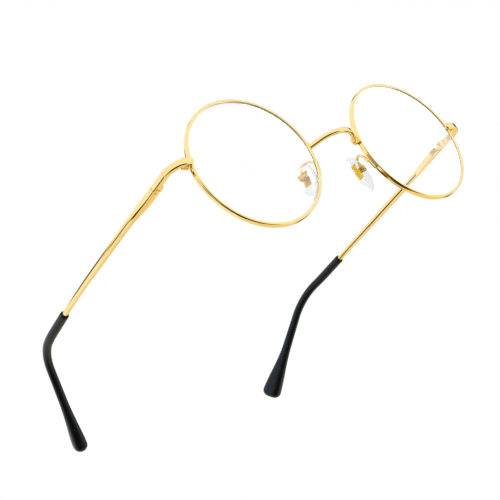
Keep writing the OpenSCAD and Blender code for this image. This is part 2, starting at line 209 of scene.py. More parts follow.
def fill_ramp(elements, stops):
    """Set a colour ramp to its stops, (place, colour) pairs in rising order."""
    while len(elements) < len(stops):
        elements.new(0.5)
    for element, (place, colour) in zip(elements, stops):
        element.position = place
        element.color = (*colour, 1)


class Maker:
    """A node tree with short calls for what every material here needs."""

    def __init__(self, name):
        self.material = bpy.data.materials.new(name)
        self.material.use_nodes = True
        self.tree = self.material.node_tree
        self.shader = self.tree.nodes["Principled BSDF"]
        self.position = self.tree.nodes.new("ShaderNodeTexCoord").outputs["Object"]

    def link(self, a, b):
        self.tree.links.new(a, b)

    def noise(self, scale, detail=4, stretch=(1, 1, 1)):
        mapping = self.tree.nodes.new("ShaderNodeMapping")
        mapping.inputs["Scale"].default_value = stretch
        self.link(self.position, mapping.inputs["Vector"])
        node = self.tree.nodes.new("ShaderNodeTexNoise")
        node.inputs["Scale"].default_value = scale
        node.inputs["Detail"].default_value = detail
        self.link(mapping.outputs["Vector"], node.inputs["Vector"])
        return node.outputs["Fac"]

    def spread(self, value, low, high, start=0.35, end=0.65):
        node = self.tree.nodes.new("ShaderNodeMapRange")
        node.inputs["From Min"].default_value = start
        node.inputs["From Max"].default_value = end
        node.inputs["To Min"].default_value = low
        node.inputs["To Max"].default_value = high
        self.link(value, node.inputs["Value"])
        return node.outputs["Result"]

    def tones(self, value, stops):
        node = self.tree.nodes.new("ShaderNodeValToRGB")
        fill_ramp(node.color_ramp.elements, stops)
        self.link(value, node.inputs["Fac"])
        self.link(node.outputs["Color"], self.shader.inputs["Base Color"])

    def bump(self, *layers):
        """Each layer is (height value, distance in metres)."""
        normal = None
        for value, distance in layers:
            node = self.tree.nodes.new("ShaderNodeBump")
            node.inputs["Strength"].default_value = 1
            node.inputs["Distance"].default_value = distance
            self.link(value, node.inputs["Height"])
            if normal is not None:
                self.link(normal, node.inputs["Normal"])
            normal = node.outputs["Normal"]
        self.link(normal, self.shader.inputs["Normal"])

    def set(self, **values):
        for name, value in values.items():
            self.shader.inputs[name.replace("_", " ")].default_value = value


def gold_material(name, light, deep, low_rough, high_rough, metallic=1.0):
    """Polished plating: faint cloudiness in colour and gloss, and hair-fine polishing marks."""
    m = Maker(name)
    m.set(Metallic=metallic, IOR=1.5)
    m.tones(m.noise(420), [(0.3, deep), (0.7, light)])
    m.link(m.spread(m.noise(900, 6), low_rough, high_rough), m.shader.inputs["Roughness"])
    waves = m.noise(260, 2)
    polish = m.noise(4000, 3, (1, 0.15, 1))
    m.bump((waves, 6e-7), (polish, 1.5e-7))
    return m.material


def tip_material():
    """Satin black moulding with a fine skin grain and a cool sheen."""
    m = Maker("tip_black")
    m.tones(m.noise(300), [(0.3, (0.005, 0.006, 0.007)), (0.7, (0.009, 0.011, 0.013))])
    m.link(m.spread(m.noise(700, 5), 0.30, 0.42), m.shader.inputs["Roughness"])
    m.bump((m.noise(180, 3), 0.000006), (m.noise(5200, 5), 0.0000035))
    m.set(IOR=1.42, Sheen_Weight=0.06, Sheen_Roughness=0.4)
    m.shader.inputs["Sheen Tint"].default_value = (0.35, 0.6, 1.0, 1)
    m.shader.inputs["Specular Tint"].default_value = (0.56, 0.72, 0.95, 1)
    return m.material


def silicone_material():
    """Clear soft silicone, faintly milky and uneven."""
    m = Maker("pad_silicone")
    m.tones(m.noise(350), [(0.3, (0.82, 0.83, 0.84)), (0.7, (0.88, 0.89, 0.90))])
    m.link(m.spread(m.noise(1200, 4), 0.10, 0.20), m.shader.inputs["Roughness"])
    m.bump((m.noise(500, 2), 0.000003))
    facing = m.tree.nodes.new("ShaderNodeLayerWeight").outputs["Facing"]
    m.link(m.spread(facing, 0.97, 0.30, 0.35, 0.95), m.shader.inputs["Transmission Weight"])
    m.set(IOR=1.1)
    return m.material


def lens_material():
    """Clear lens with the faint rosy reflection of its coating."""
    m = Maker("lens_clear")
    m.tones(m.noise(60), [(0.3, (0.985, 0.99, 0.99)), (0.7, (1.0, 1.0, 1.0))])
    m.link(m.spread(m.noise(300, 5), 0.0, 0.006), m.shader.inputs["Roughness"])
    m.bump((m.noise(30, 1), 0.0000004))
    m.set(Transmission_Weight=1.0, IOR=1.5, Coat_Weight=1.0, Coat_IOR=1.6, Coat_Roughness=0.0)
    m.shader.inputs["Specular Tint"].default_value = (1.0, 0.86, 0.84, 1)
    return m.material


# The lighter and the deeper tone of the plating
PALE = (0.955, 0.775, 0.37)
WARM = (0.925, 0.73, 0.31)
gold = gold_material("gold_plating", PALE, WARM, 0.05, 0.09)
plate_gold = gold_material("plate_gold", (1.0, 0.64, 0.002), (0.86, 0.50, 0.001), 0.14, 0.24, 0.4)
# Painted shade: the pad box gets a darker copy of the plating's gold, standing in for the shadow it sits
# in behind the pad
box_gold_painted_shade = gold_material("box_gold_painted_shade", (0.80, 0.52, 0.12), (0.62, 0.38, 0.07), 0.12, 0.22)
screw_gold = gold_material("screw_gold", (0.90, 0.66, 0.25), (0.80, 0.56, 0.18), 0.10, 0.18)
tip_black = tip_material()
silicone = silicone_material()
lens_clear = lens_material()

# ---------------------------------------------------------------------------
# Rims
# ---------------------------------------------------------------------------

RIM_WIDE = 1.1
RIM_DEEP = 1.85
RIM_GAP = 0.4
GROOVE_DEEP = 0.45
GROOVE_HALF = 0.45
RIM_FRONT_IN = 0.3  # radii of the section's four corners
RIM_FRONT_OUT = 0.34
RIM_BACK_OUT = 0.25
RIM_BACK_IN = 0.2
RIM_STEPS = 320
lock_angle = math.asin(HINGE_UP / (rim_out - RIM_WIDE / 2))


def rim_outline():
    """The rim's section: x is the radius, y the way back; the V groove is on its inside."""
    inner = rim_out - RIM_WIDE
    made = [(inner + GROOVE_DEEP, 0), (inner, -GROOVE_HALF)]
    half = RIM_DEEP / 2
    corners = (
        (inner + RIM_FRONT_IN, RIM_FRONT_IN - half, 180, RIM_FRONT_IN),
        (rim_out - RIM_FRONT_OUT, RIM_FRONT_OUT - half, 270, RIM_FRONT_OUT),
        (rim_out - RIM_BACK_OUT, half - RIM_BACK_OUT, 0, RIM_BACK_OUT),
        (inner + RIM_BACK_IN, half - RIM_BACK_IN, 90, RIM_BACK_IN),
    )
    for cx, cy, start, r in corners:
        for i in range(7):
            a = math.radians(start + 90 * i / 6)
            made.append((cx + r * math.cos(a), cy + r * math.sin(a)))
    made.append((inner, GROOVE_HALF))
    return made


def make_rim(word, side):
    outline = rim_outline()
    gap = RIM_GAP / (rim_out - RIM_WIDE / 2)
    rings = []
    for i in range(RIM_STEPS + 1):
        a = lock_angle + gap / 2 + (2 * math.pi - gap) * i / RIM_STEPS
        ring = [(r * math.cos(a), y, r * math.sin(a)) for r, y in outline]
        rings.append(in_rows(ring, RIM, side))
    points, faces = rings_mesh(rings)
    obj = build(f"rim_wire_{word}", points, faces, "front", gold, 40)
    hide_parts(f"rim_{word}")


# ---------------------------------------------------------------------------
# Lenses
# ---------------------------------------------------------------------------

LENS_CURVE = 130.0
LENS_THICK = 1.5
LENS_SINK = 0.03  # how far the lens's edge reaches past the rim's inner face
BEVEL_RISE = 0.30
BEVEL_EASE = 0.03
EDGE_HALF = 0.40  # half thicknesses at the edge, at the bevel's foot and at its tip
BEVEL_HALF = 0.34
BEVEL_TIP = 0.03


def lens_sag(r):
    return LENS_CURVE - math.sqrt(LENS_CURVE**2 - r * r)


def make_lens(word, side):
    edge = rim_out - RIM_WIDE + LENS_SINK
    tip = edge + BEVEL_RISE
    drop = lens_sag(edge)
    profile = []
    count = 40
    for i in range(1, count + 1):
        r = edge * i / count
        profile.append((r, -(LENS_THICK / 2 + drop - lens_sag(r))))
    profile += [(edge, -EDGE_HALF), (edge + BEVEL_EASE, -BEVEL_HALF), (tip, -BEVEL_TIP)]
    profile += [(tip, BEVEL_TIP), (edge + BEVEL_EASE, BEVEL_HALF), (edge, EDGE_HALF)]
    for i in range(count, 0, -1):
        r = edge * i / count
        profile.append((r, LENS_THICK / 2 - drop + lens_sag(r)))
    steps = 192
    rings = []
    for i in range(steps):
        a = 2 * math.pi * i / steps
        rings.append([(r * math.cos(a), y, r * math.sin(a)) for r, y in profile])
    m = len(profile)
    points = [p for ring in rings for p in ring]
    faces = []
    for i in range(steps):
        k = (i + 1) % steps
        for j in range(m - 1):
            faces.append((i * m + j, i * m + j + 1, k * m + j + 1, k * m + j))
    front_pole = len(points)
    points.append((0, -(LENS_THICK / 2 + drop), 0))
    back_pole = len(points)
    points.append((0, LENS_THICK / 2 - drop, 0))
    for i in range(steps):
        k = (i + 1) % steps
        faces.append((front_pole, i * m, k * m))
        faces.append((back_pole, k * m + m - 1, i * m + m - 1))
    points = in_rows(points, RIM, side)
    obj = build(f"lens_clear_{word}", points, faces, "front", lens_clear, 30)
    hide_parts(f"lens_{word}")


# ---------------------------------------------------------------------------
# Bridge
# ---------------------------------------------------------------------------

BRIDGE_R = 9.8
BRIDGE_BACK = 2.0
BRIDGE_HALF = math.radians(54)
BRIDGE_RISE = math.radians(5.5)
BRIDGE_UP = 2.45
BRIDGE_BAR = 1.65
BRIDGE_CORNER = 0.5
BRIDGE_FLANK = 3.95  # length of the straight part at each end
FLANK_STEPS = 8
ARC_STEPS = 56
FOOT_BACK = -1.2
FOOT_MIDDLE = -0.65
FOOT_HALF_H = 1.5
FOOT_HALF_DEEP = 0.7
FOOT_INNER = 10.25  # from the middle of the front out to the foot
FOOT_SINK = 0.1
FOOT_EASE = 0.25  # how far the foot draws in at its upper and lower ends
FOOT_STEPS = 12


def arc_point(a):
    """Point and direction on the bridge's arc, a radians from its middle."""
    place = Vector((BRIDGE_R * math.sin(a), BRIDGE_BACK - BRIDGE_R * math.cos(a), 0))
    return place, Vector((math.cos(a), math.sin(a), 0))


def bridge_path():
    """Centre line from foot to foot in the front's frame, with each point's direction."""
    end, away = arc_point(BRIDGE_HALF)
    flat = []
    for i in range(FLANK_STEPS + 1):
        p = end + away * BRIDGE_FLANK * (1 - i / FLANK_STEPS)
        flat.append((Vector((-p.x, p.y, 0)), Vector((away.x, -away.y, 0))))
    for i in range(1, ARC_STEPS):
        flat.append(arc_point(-BRIDGE_HALF + 2 * BRIDGE_HALF * i / ARC_STEPS))
    for i in range(FLANK_STEPS + 1):
        flat.append((end + away * BRIDGE_FLANK * i / FLANK_STEPS, away))
    turn = Matrix.Rotation(-BRIDGE_RISE, 4, "X")
    lift = Matrix.Translation((0, FOOT_BACK, BRIDGE_UP))
    base = lift @ turn @ Matrix.Translation((0, -FOOT_BACK, 0))
    return [(base @ p, (base.to_3x3() @ d).normalized()) for p, d in flat]


def make_bridge():
    outline = rounded_section(BRIDGE_BAR, BRIDGE_BAR, BRIDGE_CORNER, 6)
    up = (Matrix.Rotation(-BRIDGE_RISE, 3, "X") @ Vector((0, 0, 1))).normalized()
    rings = []
    for p, d in bridge_path():
        across = d.cross(up).normalized()
        rings.append(in_rows(place_section(p, across, up, outline), FRONT, 1))
    points, faces = rings_mesh(rings)
    arch = build("bridge_arch", points, faces, "front", gold, 40)
    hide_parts("bridge")
    for word, side in SIDES:
        make_foot(word, side)


def make_foot(word, side):
    """The flat foot on the rim: a block with soft edges whose outer face follows the rim."""
    rings = []
    for i in range(FOOT_STEPS + 1):
        t = -1 + 2 * i / FOOT_STEPS
        z = BRIDGE_UP + FOOT_HALF_H * t
        soft = round_end(t, 0.8) * FOOT_EASE - FOOT_EASE
        outer = rim_x - math.sqrt((rim_out - FOOT_SINK) ** 2 - z * z)
        inner = FOOT_INNER - soft
        w, d = outer - inner, 2 * (FOOT_HALF_DEEP + soft)
        middle = (outer + inner) / 2
        ring = [(x + middle, y + FOOT_MIDDLE, z) for x, y in rounded_section(w, d, 0.18)]
        rings.append(in_rows(ring, FRONT, side))
    points, faces = rings_mesh(rings)
    obj = build(f"bridge_foot_{word}", points, faces, "front", gold, 40)
    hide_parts("bridge")


# ---------------------------------------------------------------------------
# End pieces
# ---------------------------------------------------------------------------

BAND_T = 1.1
BAND_SWELL = 1.1  # how much thicker the band is between its bend and the hinge
BAND_H = 2.5
BAND_END_H = 2.3
BAND_CORNER = 0.48
LAP_OVER = 0.4  # the lap's round nose ends this far inside the rim's outer edge
NOSE_STEPS = 16
LAP_STEPS = 4
BEND_STEPS = 32
BEND_R = 6.2
LAP_BACK = -0.05
TEMPLE_X = hinge_x + 1.7


def make_end_piece(word, side):
    """Flat band: round-nosed lap on the rim, a bend, and a straight to the hinge."""
    bend_x = TEMPLE_X - BEND_R
    bend_y = LAP_BACK + BEND_R
    lap_start = rim_x + rim_out - LAP_OVER - BAND_H / 2
    line = []
    for i in range(NOSE_STEPS + 1):
        nose = 1 - math.cos(i / NOSE_STEPS * math.pi / 2)
        line.append((Vector((lap_start + BAND_H / 2 * nose, LAP_BACK, 0)), Vector((1, 0, 0))))
    for i in range(1, LAP_STEPS + 1):
        x = mix(lap_start + BAND_H / 2, bend_x, i / LAP_STEPS)
        line.append((Vector((x, LAP_BACK, 0)), Vector((1, 0, 0))))
    for i in range(1, BEND_STEPS + 1):
        a = math.pi / 2 * i / BEND_STEPS
        p = Vector((bend_x + BEND_R * math.sin(a), bend_y - BEND_R * math.cos(a), 0))
        line.append((p, Vector((math.cos(a), math.sin(a), 0))))
    for i in range(1, 9):
        y = mix(bend_y, HINGE_BACK, i / 8)
        line.append((Vector((TEMPLE_X, y, 0)), Vector((0, 1, 0))))
    rings = []
    up = Vector((0, 0, 1))
    bend_start = NOSE_STEPS + LAP_STEPS
    bend_middle = bend_start + BEND_STEPS // 2
    last = len(line) - 4
    for k, (p, d) in enumerate(line):
        reach = p.x - lap_start if k <= NOSE_STEPS else BAND_H
        nose = math.sqrt(max(0.002, 1 - max(0.0, 1 - reach / (BAND_H / 2)) ** 2))
        h = mix(BAND_H, BAND_END_H, smooth(k, bend_start, last)) * nose
        t = BAND_T * mix(0.55, 1, ramp(nose, 0, 0.8))
        fade = 1 - smooth(p.y, HINGE_BACK - 3.6, HINGE_BACK - 1.8)
        extra = BAND_SWELL * smooth(k, bend_start, bend_middle) * fade
        across = d.cross(up)
        centre = p + Vector((0, 0, HINGE_UP)) - across * extra / 2
        ring = place_section(centre, across, up, rounded_section(t + extra, h, BAND_CORNER, 8))
        rings.append(in_rows(ring, LEVEL, side))
    points, faces = rings_mesh(rings)
    obj = build(f"end_band_{word}", points, faces, "front", gold, 40)
    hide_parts(f"end_piece_{word}")


# ---------------------------------------------------------------------------
# Hinges: the ears on the end piece and the leaf on the temple
# ---------------------------------------------------------------------------

EAR_R = 0.95
EAR_HALF_H = 1.14
KNUCKLE_HALF_H = 0.6
BAND_FACE = 1.15  # from the hinge axis out to the inner face of the end piece
WEB_FRONT = -4.6  # from the hinge axis, along the temple
WEB_BACK = -1.5
EAR_NECK = -1.55
WEB_STEPS = 10
LEAF_START = 1.5
LEAF_END = 21.0
LEAF_FACE = 1.05  # the leaf's flat side against the temple, out from the hinge axis
LEAF_BULGE = 0.95  # how far it swells inwards behind the barrel
LEAF_HALF_H = 1.02
LEAF_STEPS = 14
BARREL_PLAY = 0.06


def prism(outline, low, high):
    """Points and faces of an upright prism over an outline."""
    m = len(outline)
    points = [(x, y, low) for x, y in outline] + [(x, y, high) for x, y in outline]
    faces = [tuple(range(m)), tuple(range(m, 2 * m))]
    for j in range(m):
        n = (j + 1) % m
        faces.append((j, n, m + n, m + j))
    return points, faces


def join_prisms(parts):
    points, faces = [], []
    for part_points, part_faces in parts:
        base = len(points)
        points += part_points
        faces += [tuple(base + i for i in face) for face in part_faces]
    return points, faces


def barrel(radius, neck):
    """Outline of a hinge barrel, round on one side and running out along Y to neck on the other."""
    turn = 1 if neck < 0 else -1
    made = [(-radius, neck)]
    for i in range(17):
        a = math.pi * (1 - i / 16)
        made.append((radius * math.cos(a), turn * radius * math.sin(a)))
    made.append((radius, neck))
    return made


def hinge_piece(name, parts, side, body, node, width):
    points, faces = join_prisms(parts)
    points = [(hinge_x + x, HINGE_BACK + y, HINGE_UP + z) for x, y, z in points]
    obj = build(name, in_rows(points, LEVEL, side), faces, body, gold, 35)
    soften(obj, width)
    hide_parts(node)


def make_hinge(word, side):
    web = [(BAND_FACE, WEB_FRONT)]
    for i in range(1, WEB_STEPS + 1):
        t = i / WEB_STEPS
        web.append((mix(BAND_FACE, -EAR_R, smooth(t, 0, 1)), mix(WEB_FRONT, WEB_BACK, t)))
    web.append((BAND_FACE, WEB_BACK))
    ear = barrel(EAR_R, EAR_NECK)[:-1] + [(BAND_FACE, 0.0), (BAND_FACE, EAR_NECK)]
    ears = [
        prism(web, -EAR_HALF_H, EAR_HALF_H),
        prism(ear, KNUCKLE_HALF_H, EAR_HALF_H),
        prism(ear, -EAR_HALF_H, -KNUCKLE_HALF_H),
    ]
    hinge_piece(f"hinge_cheeks_{word}", ears, side, "front", f"hinge_ears_{word}", 0.14)
    plate = [(LEAF_FACE, LEAF_START), (LEAF_FACE, LEAF_END)]
    for i in range(1, LEAF_STEPS + 1):
        t = i / LEAF_STEPS
        plate.append((mix(1.0, -LEAF_BULGE, smooth(t, 0, 0.8)), mix(LEAF_END, LEAF_START, t)))
    half = KNUCKLE_HALF_H - BARREL_PLAY
    leaf = [prism(plate, -LEAF_HALF_H, LEAF_HALF_H), prism(barrel(EAR_R, LEAF_START + 0.1), -half, half)]
    hinge_piece(f"hinge_plate_{word}", leaf, side, f"{word}_temple", f"hinge_leaf_{word}", 0.12)


# ---------------------------------------------------------------------------
# Temples and tips, along one centre line in the level frame
# ---------------------------------------------------------------------------

WIRE_LEN = 73.5
TIP_LEN = 70.0
BOW_LEN = 25.0
STEP = 0.5
WIRE_R = 0.97  # the round wire at its far end
WIRE_START = (0.1, 0.14, 0.22, 0.36, 0.6)  # first rings, close together over the eased end
WIRE_STEP = 0.75
CORE_STEP = 0.4
END_EASE = 0.16


def yaw(s):
    """Inward turn of the temple's line, s millimetres past the start of its bow."""
    return math.radians(2.8 * ramp(s, 0, BOW_LEN) + 26.0 * ramp(s, BOW_LEN + 12, BOW_LEN + 33.6))


def drop(s):
    """Downward bend of the temple's line at s."""
    return math.radians(1.2 * ramp(s, 0, BOW_LEN) + 39.0 * ramp(s, BOW_LEN + 18, BOW_LEN + 34.6))


def heading(s):
    y, p = yaw(s), drop(s)
    return Vector((-math.sin(y) * math.cos(p), math.cos(y) * math.cos(p), -math.sin(p)))


def temple_line():
    """Points each STEP from the bow's start to the tip's end."""
    p = Vector((TEMPLE_X, HINGE_BACK + WIRE_LEN - BOW_LEN, HINGE_UP))
    made = [p.copy()]
    count = int((BOW_LEN + TIP_LEN) / STEP)
    for i in range(count):
        p = p + heading((i + 0.5) * STEP) * STEP
        made.append(p.copy())
    return made


LINE = temple_line()


def on_line(s):
    """Centre, across and upward at s; before the bow the line is straight."""
    if s < 0:
        centre = LINE[0] + Vector((0, s, 0))
    else:
        k = s / STEP
        i = min(int(k), len(LINE) - 2)
        centre = LINE[i].lerp(LINE[i + 1], k - i)
    h = heading(s)
    across = Vector((math.cos(yaw(s)), math.sin(yaw(s)), 0))
    return centre, across, across.cross(h)


def line_ring(s, outline, side):
    centre, across, upward = on_line(s)
    return in_rows(place_section(centre, across, upward, outline), LEVEL, side)


def temple_section(y):
    """Half width, half height and squareness of the temple, y behind the hinge axis."""
    w = mix(0.7, 1.2, smooth(y, 3, 17))
    w = mix(w, WIRE_R, smooth(y, 30, WIRE_LEN))
    h = mix(1.12, 1.2, smooth(y, 0, 20))
    h = mix(h, WIRE_R, smooth(y, 30, WIRE_LEN))
    return w, h, mix(0.42, 1.0, smooth(y, 1, 25))


def make_temple(word, side):
    start = BOW_LEN - WIRE_LEN
    eased, first = WIRE_START[-2] - WIRE_START[0], WIRE_START[-1]
    places = [*WIRE_START] + [first + WIRE_STEP * i for i in range(1, 97)]
    rings = []
    for y in places:
        w, h, power = temple_section(y)
        ease = 1 - END_EASE * max(0.0, 1 - (y - WIRE_START[0]) / eased) ** 2
        rings.append(line_ring(start + y, oval_section(w * ease, h * ease, power, 40), side))
    wire_end = start + places[-1]
    last_w, last_h, _ = temple_section(places[-1])
    for s in [wire_end + CORE_STEP * i for i in range(1, 14)]:
        rings.append(line_ring(s, oval_section(last_w, last_h, 1.0, 40), side))
    points, faces = rings_mesh(rings)
    obj = build(f"temple_wire_{word}", points, faces, f"{word}_temple", gold, 50)
    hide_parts(f"temple_{word}")


LIP_MIDDLE = 1.28  # radius of the middle of the sleeve's rounded mouth
LIP_R = 0.28
TIP_R = 1.6  # the sleeve at its mouth
TIP_ROUND = 2.6  # length of the rounded end
BODY_START = 0.5
BODY_STEP = 0.9
TIP_SQUARE = 0.92  # how square the sleeve's oval is


def tip_section(s):
    """Half width, half height, squareness and lift of the sleeve, s past its mouth."""
    flare = smooth(s, 30, 78)
    paddle = smooth(s, 48, 70)
    w = mix(TIP_R, 1.75, flare) + 1.0 * paddle
    h = mix(TIP_R, 2.1, flare) + 1.75 * paddle
    waist = 1 - 0.05 * math.sin(math.pi * ramp(s, 14, 50))
    return w * waist, h * waist, mix(TIP_SQUARE, 0.72, paddle), 0.5 * paddle


def tip_ring(s, shrink, rounder, side, count):
    w, h, power, lift = tip_section(s)
    outline = oval_section(w * shrink, h * mix(1, shrink, 0.86), mix(power, 1, rounder), count)
    raised = [(x, y + lift) for x, y in outline]
    return line_ring(BOW_LEN + s, raised, side)


def make_tip(word, side):
    count = 44
    rings = []
    bore = LIP_MIDDLE - LIP_R
    for s in (3.0, 0.4):
        rings.append(line_ring(BOW_LEN + s, oval_section(bore, bore, 1.0, count), side))
    for i in range(7):
        a = math.pi * i / 6
        r = LIP_MIDDLE - LIP_R * math.cos(a)
        s = LIP_R * (1 - math.sin(a))
        lip = oval_section(r, r, mix(1.0, TIP_SQUARE, i / 6), count)
        rings.append(line_ring(BOW_LEN + s, lip, side))
    for i in range(int((TIP_LEN - TIP_ROUND - BODY_START) / BODY_STEP) + 1):
        rings.append(tip_ring(BODY_START + BODY_STEP * i, 1, 0, side, count))
    for i in range(1, 15):
        a = math.pi / 2 * i / 14
        s = min(TIP_LEN, TIP_LEN - TIP_ROUND + TIP_ROUND * math.sin(a))
        rings.append(tip_ring(s, max(0.02, math.cos(a) ** 0.75), i / 14, side, count))
    points, faces = rings_mesh(rings)
    obj = build(f"tip_sleeve_{word}", points, faces, f"{word}_temple", tip_black, 55)
    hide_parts(f"temple_tip_{word}")


# ---------------------------------------------------------------------------
# Nose pads and their arms
# ---------------------------------------------------------------------------

PAD_CENTRE = Vector((12.7, 6.4, -7.0))
PAD_SPLAY = math.radians(12)
PAD_TURN = math.radians(12)
PAD_W = 7.8
PAD_H = 14.0
PIVOT = Vector((1.9, 0, 1.2))
ARM_R = 0.45
FACE_DEEP = 1.4
BACK_DEEP = 0.75
BACK_NARROW = 0.16  # how much narrower the back's edge is than the pad
# The back's recess: depth as a part of BACK_DEEP, radius as a part of the pad's
RECESS = ((0.98, 0.79), (0.80, 0.74), (0.66, 0.64), (0.62, 0.45), (0.60, 0.2))
PAD_AROUND = 72
ARM_START = Vector((11.75, -0.7, -6.4))
ARM_LEAN_A = Vector((-0.5, 1.2, 5.6))  # the curve's handles, from its start and from its end
ARM_LEAN_B = Vector((-0.5, -0.4, 4.4))
ARM_STEPS = 40
ARM_FOOT_AT = 188  # degrees round the rim
ARM_FOOT_SPAN = 15
ARM_FOOT_RISE = 0.7
ARM_FOOT_HALF = 0.65
ARM_FOOT_SINK = 0.05
ARM_FOOT_STEPS = 24
PAD = (
    FRONT
    @ Matrix.Translation(PAD_CENTRE)
    @ Matrix.Rotation(-PAD_SPLAY, 4, "Y")
    @ Matrix.Rotation(-PAD_TURN, 4, "Z")
)
PAD_IN_FRONT = FRONT.inverted() @ PAD


def make_pad(word, side):
    """Soft oval: full face towards the nose, flatter back with a raised edge."""
    profile = []
    for i in range(15):
        u = math.pi / 2 * i / 14
        profile.append((-FACE_DEEP * max(0.0, math.cos(u)) ** 0.6, math.sin(u) ** 0.6))
    for i in range(1, 8):
        u = math.pi / 2 * i / 7
        profile.append((BACK_DEEP * math.sin(u) ** 0.8, 1 - BACK_NARROW * (1 - math.cos(u))))
    profile += [(BACK_DEEP * depth, radius) for depth, radius in RECESS]
    around = PAD_AROUND
    points, faces = [], []
    points.append(Vector((profile[0][0], 0, 0)))
    rings = profile[1:]
    for x, grow in rings:
        for j in range(around):
            a = 2 * math.pi * j / around
            y = grow * PAD_W / 2 * math.cos(a)
            z = grow * PAD_H / 2 * math.sin(a)
            narrow = 1 - 0.06 * math.sin(a)
            points.append(Vector((x, y * narrow, z)))
    for j in range(around):
        faces.append((0, 1 + j, 1 + (j + 1) % around))
    for i in range(len(rings) - 1):
        for j in range(around):
            a, b = 1 + i * around + j, 1 + i * around + (j + 1) % around
            faces.append((a, a + around, b + around, b))
    centre = len(points)
    points.append(Vector((profile[-1][0], 0, 0)))
    last = 1 + (len(rings) - 1) * around
    for j in range(around):
        faces.append((centre, last + (j + 1) % around, last + j))
    points = in_rows(points, PAD, side)
    obj = build(f"pad_soft_{word}", points, faces, f"{word}_pad", silicone, 60)
    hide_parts(f"nose_pad_{word}")


def arm_line():
    """The arm's bent wire, from the foot on the rim over to the box."""
    end = PAD_IN_FRONT @ (PIVOT + Vector((0, 0, 0.85)))
    lean_a = ARM_START + ARM_LEAN_A
    lean_b = end + ARM_LEAN_B
    made = []
    for i in range(ARM_STEPS + 1):
        t = i / ARM_STEPS
        u = 1 - t
        made.append(u**3 * ARM_START + 3 * u**2 * t * lean_a + 3 * u * t * t * lean_b + t**3 * end)
    return made


def make_arm(word, side):
    line = arm_line()
    rings = []
    for i, p in enumerate(line):
        d = (line[min(i + 1, len(line) - 1)] - line[max(i - 1, 0)]).normalized()
        u = d.cross(Vector((1, 0, 0))).normalized()
        v = u.cross(d)
        flat = mix(1.25, 1.0, ramp(i, 0, 8))
        section = oval_section(ARM_R * flat, ARM_R, 1.0, 20)
        rings.append(in_rows(place_section(p, u, v, section), FRONT, side))
    points, faces = rings_mesh(rings)
    obj = build(f"pad_wire_{word}", points, faces, "front", gold, 60)
    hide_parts(f"pad_arm_{word}")
    make_arm_foot(word, side)


def make_arm_foot(word, side):
    """The arm's flat foot: a low block with soft ends that follows the rim."""
    base = rim_out - ARM_FOOT_SINK
    rings = []
    for i in range(ARM_FOOT_STEPS + 1):
        t = i / ARM_FOOT_STEPS
        a = math.radians(ARM_FOOT_AT + ARM_FOOT_SPAN * t)
        ends = round_end(2 * t - 1, 0.75, 0.01)
        rise = ARM_FOOT_RISE * ends
        half = ARM_FOOT_HALF * mix(0.6, 1, ends)
        ring = []
        for x, y in rounded_section(rise, 2 * half, 0.3, 4):
            r = base + rise / 2 + x
            ring.append((r * math.cos(a), 0.2 + y, r * math.sin(a)))
        rings.append(in_rows(ring, RIM, side))
    points, faces = rings_mesh(rings)
    foot = build(f"pad_foot_{word}", points, faces, "front", gold, 50)
    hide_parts(f"pad_arm_{word}")


# ---------------------------------------------------------------------------
# Small hardware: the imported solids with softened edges
# ---------------------------------------------------------------------------

WELD_NEAR = 1e-6  # metres
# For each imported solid: its material and the width of its softened edges
HARDWARE = {
    "lock_block_upper": (gold, 0.12),
    "lock_block_lower": (gold, 0.12),
    "lock_screw": (screw_gold, 0.06),
    "hinge_screw": (screw_gold, 0.05),
    # the pad box's darker gold is painted shade
    "pad_box": (box_gold_painted_shade, 0.12),
    "pad_screw": (screw_gold, 0.05),
    "pad_holder": (plate_gold, 0.08),
}


def finish_hardware(word):
    for base, (material, edge) in HARDWARE.items():
        obj = nodes[f"{base}_{word}"]
        obj.data.materials.clear()
        obj.data.materials.append(material)
        weld = obj.modifiers.new("weld", "WELD")
        weld.merge_threshold = WELD_NEAR
        soften(obj, edge)
        normals = obj.modifiers.new("even_normals", "WEIGHTED_NORMAL")
        normals.keep_sharp = False


SIDES = (("left", 1), ("right", -1))
for word, side in SIDES:
    make_rim(word, side)
    make_lens(word, side)
    make_end_piece(word, side)
    make_hinge(word, side)
    make_temple(word, side)
    make_tip(word, side)
    make_pad(word, side)
    make_arm(word, side)
    finish_hardware(word)
make_bridge()

# ---------------------------------------------------------------------------
# Camera, light and floor
# ---------------------------------------------------------------------------

# The camera in the front's frame: its angles, its distance and sideways offset in millimetres, its lens
CAMERA_AZIMUTH = math.radians(-43.03)
CAMERA_ELEVATION = math.radians(-19.28)
CAMERA_ROLL = math.radians(-27.86)
CAMERA_FAR = 509.2
CAMERA_SHIFT = (-28.45, -33.50)
CAMERA_LENS = 108.36


def make_camera():
    ca, ce = CAMERA_AZIMUTH, CAMERA_ELEVATION
    back = Vector((math.sin(ca) * math.cos(ce), -math.cos(ca) * math.cos(ce), math.sin(ce)))
    right = (-back).cross(Vector((0, 0, 1))).normalized()
    up = right.cross(-back)
    cr, sr = math.cos(CAMERA_ROLL), math.sin(CAMERA_ROLL)
    x_axis = right * cr + up * sr
    y_axis = up * cr - right * sr
    place = back * CAMERA_FAR + x_axis * CAMERA_SHIFT[0] + y_axis * CAMERA_SHIFT[1]
    local = Matrix((x_axis, y_axis, back)).transposed().to_4x4()
    local.translation = place
    world = FRONT @ local
    world.translation *= MM
    data = bpy.data.cameras.new("camera")
    data.sensor_width = 36
    data.lens = CAMERA_LENS
    data.clip_start = 0.01
    data.clip_end = 50
    camera = bpy.data.objects.new("camera", data)
    bpy.context.scene.collection.objects.link(camera)
    camera.matrix_world = world
    bpy.context.scene.camera = camera


def soft_light(name, place, size, power):
    data = bpy.data.lights.new(name, "AREA")
    data.shape = "DISK"
    data.size = size
    data.energy = power
    light = bpy.data.objects.new(name, data)
    bpy.context.scene.collection.objects.link(light)
    light.location = place
    light.rotation_mode = "QUATERNION"
    light.rotation_quaternion = Vector(place).to_track_quat("Z", "Y")
    light.visible_glossy = False
    light.visible_camera = False


